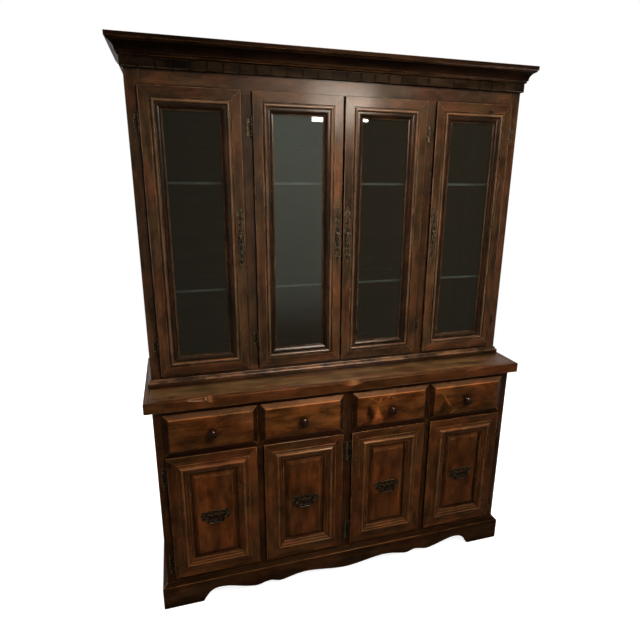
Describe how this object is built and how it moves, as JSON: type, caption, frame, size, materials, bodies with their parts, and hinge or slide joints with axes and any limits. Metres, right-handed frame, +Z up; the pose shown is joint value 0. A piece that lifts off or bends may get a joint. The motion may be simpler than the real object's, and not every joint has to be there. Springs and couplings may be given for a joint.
{
  "type": "dresser with hutch",
  "caption": "Tall dark-stained wooden dresser: glazed hutch with crown moulding and glass shelves, on a base with a row of drawers over panelled doors and a scalloped plinth.",
  "frame": {"origin": "on the floor, under the middle of the cabinet's bounding box", "axes": "+Z up, doors and drawers face -Y, +X to the right seen from the front"},
  "size_m": [1.506, 0.478, 2],
  "materials": {
    "stained_wood": "dark stained, distressed, satin lacquer",
    "dark_wood": "nearly black stain, gloss",
    "plain_wood": "planed, thin lacquer",
    "back_board": "stained board, matt",
    "pane_glass": "clear float",
    "shelf_glass": "clear float, polished edge",
    "bronze": "antique bronze, rubbed",
    "steel": "nickel plated",
    "catch": "matt"
  },
  "bodies": {
    "cabinet": {"countertop": "stained_wood", "base_case": "stained_wood", "base_back": "back_board", "base_face_frame": "stained_wood", "plinth": "stained_wood", "drawer_runners": "plain_wood", "hutch_case": "stained_wood", "hutch_back": "back_board", "hutch_face_frame": "stained_wood", "glass_shelves": "shelf_glass", "shelf_pins": "steel", "cornice": "stained_wood", "hutch_base_moulding": "stained_wood", "door_hinges": "bronze", "hinge_screws": "bronze", "door_catches": "catch"},
    "drawer_1": {"drawer_1_front": "stained_wood", "drawer_1_box": "plain_wood", "drawer_1_knob": "dark_wood"},
    "drawer_2": {"drawer_2_front": "stained_wood", "drawer_2_box": "plain_wood", "drawer_2_knob": "dark_wood"},
    "drawer_3": {"drawer_3_front": "stained_wood", "drawer_3_box": "plain_wood", "drawer_3_knob": "dark_wood"},
    "drawer_4": {"drawer_4_front": "stained_wood", "drawer_4_box": "plain_wood", "drawer_4_knob": "dark_wood"},
    "lower_door_1": {"lower_door_1_frame": "stained_wood", "lower_door_1_panel": "stained_wood", "lower_door_1_fittings": "bronze"},
    "lower_door_1_pull": {"lower_door_1_bail": "bronze"},
    "lower_door_2": {"lower_door_2_frame": "stained_wood", "lower_door_2_panel": "stained_wood", "lower_door_2_fittings": "bronze"},
    "lower_door_2_pull": {"lower_door_2_bail": "bronze"},
    "lower_door_3": {"lower_door_3_frame": "stained_wood", "lower_door_3_panel": "stained_wood", "lower_door_3_fittings": "bronze"},
    "lower_door_3_pull": {"lower_door_3_bail": "bronze"},
    "lower_door_4": {"lower_door_4_frame": "stained_wood", "lower_door_4_panel": "stained_wood", "lower_door_4_fittings": "bronze"},
    "lower_door_4_pull": {"lower_door_4_bail": "bronze"},
    "upper_door_1": {"upper_door_1_frame": "stained_wood", "upper_door_1_pane": "pane_glass", "upper_door_1_fittings": "bronze"},
    "upper_door_1_pull": {"upper_door_1_drop": "bronze"},
    "upper_door_2": {"upper_door_2_frame": "stained_wood", "upper_door_2_pane": "pane_glass", "upper_door_2_fittings": "bronze"},
    "upper_door_2_pull": {"upper_door_2_drop": "bronze"},
    "upper_door_3": {"upper_door_3_frame": "stained_wood", "upper_door_3_pane": "pane_glass", "upper_door_3_fittings": "bronze"},
    "upper_door_3_pull": {"upper_door_3_drop": "bronze"},
    "upper_door_4": {"upper_door_4_frame": "stained_wood", "upper_door_4_pane": "pane_glass", "upper_door_4_fittings": "bronze"},
    "upper_door_4_pull": {"upper_door_4_drop": "bronze"}
  },
  "joints": [
    {"name": "drawer_1_slide", "type": "slide", "parent": "cabinet", "child": "drawer_1", "axis": [0, -1, 0], "range_m": [0, 0.3]},
    {"name": "drawer_2_slide", "type": "slide", "parent": "cabinet", "child": "drawer_2", "axis": [0, -1, 0], "range_m": [0, 0.3]},
    {"name": "drawer_3_slide", "type": "slide", "parent": "cabinet", "child": "drawer_3", "axis": [0, -1, 0], "range_m": [0, 0.3]},
    {"name": "drawer_4_slide", "type": "slide", "parent": "cabinet", "child": "drawer_4", "axis": [0, -1, 0], "range_m": [0, 0.3]},
    {"name": "lower_door_1_hinge", "type": "hinge", "parent": "cabinet", "child": "lower_door_1", "pos_m": [-0.6837, -0.2055, 0.378], "axis": [0, 0, -1], "range_deg": [0, 105]},
    {"name": "lower_door_1_bail_pivot", "type": "hinge", "parent": "lower_door_1", "child": "lower_door_1_pull", "pos_m": [-0.5185, -0.22, 0.371], "axis": [-1, 0, 0], "range_deg": [0, 60]},
    {"name": "lower_door_2_hinge", "type": "hinge", "parent": "cabinet", "child": "lower_door_2", "pos_m": [-0.0143, -0.2055, 0.378], "axis": [0, 0, 1], "range_deg": [0, 80]},
    {"name": "lower_door_2_bail_pivot", "type": "hinge", "parent": "lower_door_2", "child": "lower_door_2_pull", "pos_m": [-0.1745, -0.22, 0.371], "axis": [-1, 0, 0], "range_deg": [0, 60]},
    {"name": "lower_door_3_hinge", "type": "hinge", "parent": "cabinet", "child": "lower_door_3", "pos_m": [0.0143, -0.2055, 0.378], "axis": [0, 0, -1], "range_deg": [0, 80]},
    {"name": "lower_door_3_bail_pivot", "type": "hinge", "parent": "lower_door_3", "child": "lower_door_3_pull", "pos_m": [0.1745, -0.22, 0.371], "axis": [-1, 0, 0], "range_deg": [0, 60]},
    {"name": "lower_door_4_hinge", "type": "hinge", "parent": "cabinet", "child": "lower_door_4", "pos_m": [0.6837, -0.2055, 0.378], "axis": [0, 0, 1], "range_deg": [0, 105]},
    {"name": "lower_door_4_bail_pivot", "type": "hinge", "parent": "lower_door_4", "child": "lower_door_4_pull", "pos_m": [0.5185, -0.22, 0.371], "axis": [-1, 0, 0], "range_deg": [0, 60]},
    {"name": "upper_door_1_hinge", "type": "hinge", "parent": "cabinet", "child": "upper_door_1", "pos_m": [-0.6787, -0.0905, 1.383], "axis": [0, 0, -1], "range_deg": [0, 105]},
    {"name": "upper_door_1_drop_pivot", "type": "hinge", "parent": "upper_door_1", "child": "upper_door_1_pull", "pos_m": [-0.3735, -0.1021, 1.397], "axis": [-1, 0, 0], "range_deg": [0, 80]},
    {"name": "upper_door_2_hinge", "type": "hinge", "parent": "cabinet", "child": "upper_door_2", "pos_m": [-0.3242, -0.0905, 1.383], "axis": [0, 0, -1], "range_deg": [0, 105]},
    {"name": "upper_door_2_drop_pivot", "type": "hinge", "parent": "upper_door_2", "child": "upper_door_2_pull", "pos_m": [-0.019, -0.1021, 1.397], "axis": [-1, 0, 0], "range_deg": [0, 80]},
    {"name": "upper_door_3_hinge", "type": "hinge", "parent": "cabinet", "child": "upper_door_3", "pos_m": [0.3242, -0.0905, 1.383], "axis": [0, 0, 1], "range_deg": [0, 105]},
    {"name": "upper_door_3_drop_pivot", "type": "hinge", "parent": "upper_door_3", "child": "upper_door_3_pull", "pos_m": [0.019, -0.1021, 1.397], "axis": [-1, 0, 0], "range_deg": [0, 80]},
    {"name": "upper_door_4_hinge", "type": "hinge", "parent": "cabinet", "child": "upper_door_4", "pos_m": [0.6787, -0.0905, 1.383], "axis": [0, 0, 1], "range_deg": [0, 105]},
    {"name": "upper_door_4_drop_pivot", "type": "hinge", "parent": "upper_door_4", "child": "upper_door_4_pull", "pos_m": [0.3735, -0.1021, 1.397], "axis": [-1, 0, 0], "range_deg": [0, 80]}
  ]
}
